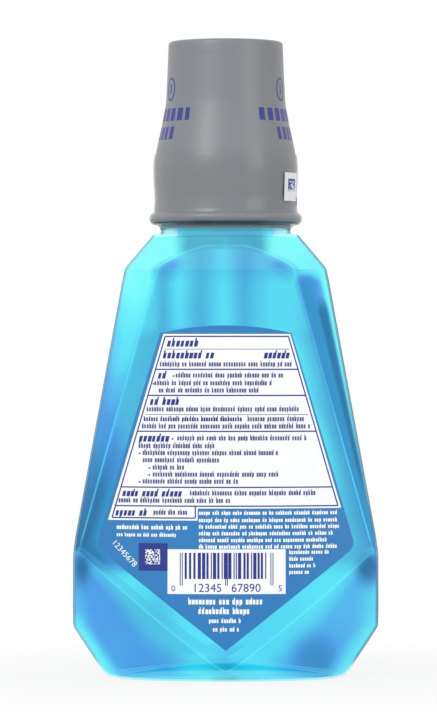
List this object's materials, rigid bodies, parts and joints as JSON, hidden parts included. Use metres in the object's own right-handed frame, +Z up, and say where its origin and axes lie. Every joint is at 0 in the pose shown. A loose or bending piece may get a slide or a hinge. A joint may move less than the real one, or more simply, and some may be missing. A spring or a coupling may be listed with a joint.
{
  "type": "mouthwash bottle",
  "caption": "Faceted clear blue bottle of mouthwash with a grey screw cap over a dosing cup, a clear shrink band and a shield label on each panel.",
  "frame": {"origin": "middle of the base, in the plane that the bottle stands on", "axes": "+Z up along the axis of the neck, -Y towards the pictured side with the ruled back label, +X to that side's right"},
  "size_m": [0.1204, 0.0814, 0.25],
  "materials": {
    "blue_pet": "clear tinted, polished",
    "blue_liquid": "clear liquid",
    "grey_pp": "satin",
    "natural_pp": "milky, smooth",
    "seal_foam": "matt foam",
    "clear_film": "clear film",
    "back_label_ink": "printed film, smooth",
    "front_label_ink": "printed film, smooth"
  },
  "bodies": {
    "bottle": {"bottle": "blue_pet", "mouthwash": "blue_liquid", "back_label": "back_label_ink", "front_label": "front_label_ink"},
    "seal": {"sealing_ring": "seal_foam"},
    "cap": {"dosing_cup": "natural_pp", "cap_shell": "grey_pp", "shrink_band": "clear_film"}
  },
  "joints": [
    {"name": "cap_lift", "type": "slide", "parent": "bottle", "child": "seal", "axis": [0, 0, 1], "range_m": [0, 0.0254]},
    {"name": "cap_turn", "type": "hinge", "parent": "seal", "child": "cap", "pos_m": [0, 0, 0.196], "axis": [0, 0, 1], "range_deg": [0, 1080]}
  ],
  "couplings": [
    {"joint": "cap_lift", "follows": "cap_turn", "m_per_rad": 0.0013474}
  ]
}
